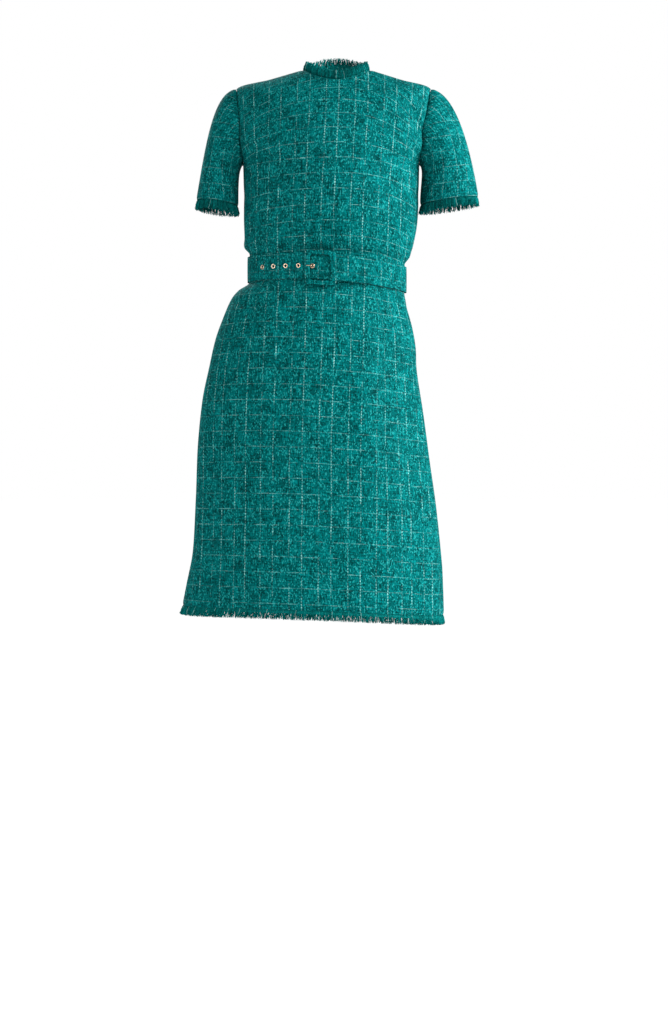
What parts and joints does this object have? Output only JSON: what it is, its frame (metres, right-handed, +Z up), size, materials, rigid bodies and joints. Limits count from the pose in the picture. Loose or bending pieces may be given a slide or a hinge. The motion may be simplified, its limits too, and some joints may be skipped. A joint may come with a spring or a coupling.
{
  "type": "sheath dress",
  "caption": "Knee-length tweed sheath dress, worn with no wearer: short sleeves, jewel neck, frayed trims and a buckled self-fabric belt round a nipped waist.",
  "frame": {"origin": "the middle of the neck opening, level with the neck ends of the shoulder seams, where the wearer's neck and shoulders hold the dress", "axes": "+Z up the body, the front of the dress faces -Y, and the wearer's left is +X"},
  "size_m": [0.5138, 0.2972, 0.976],
  "materials": {
    "tweed": "teal boucle tweed with a pale windowpane check",
    "frayed_tweed": "unravelled edge of the same tweed",
    "belt_tweed": "the same tweed over a stiff belt core",
    "rose_gold_plate": "polished pale rose gold plate",
    "zip_enamel": "teal enamel"
  },
  "bodies": {
    "dress": {"bodice_front": "tweed", "bodice_back_left": "tweed", "bodice_back_right": "tweed", "skirt_front": "tweed", "skirt_back_left": "tweed", "skirt_back_right": "tweed", "sleeve_left": "tweed", "sleeve_right": "tweed", "neck_fringe": "frayed_tweed", "sleeve_left_fringe": "frayed_tweed", "sleeve_right_fringe": "frayed_tweed", "hem_fringe": "frayed_tweed", "belt": "belt_tweed", "buckle_frame": "belt_tweed", "buckle_bar": "rose_gold_plate", "buckle_prong": "rose_gold_plate", "eyelet_1": "rose_gold_plate", "eyelet_2": "rose_gold_plate", "eyelet_3": "rose_gold_plate", "eyelet_4": "rose_gold_plate", "eyelet_5": "rose_gold_plate", "zip_slider": "zip_enamel"},
    "zip_pull": {"zip_pull": "zip_enamel"}
  },
  "joints": [
    {"name": "pull_swing", "type": "hinge", "parent": "dress", "child": "zip_pull", "pos_m": [-0.0005, 0.06534, 0.00569], "axis": [0.9986, 0.028, -0.0449], "range_deg": [0, 150]}
  ]
}
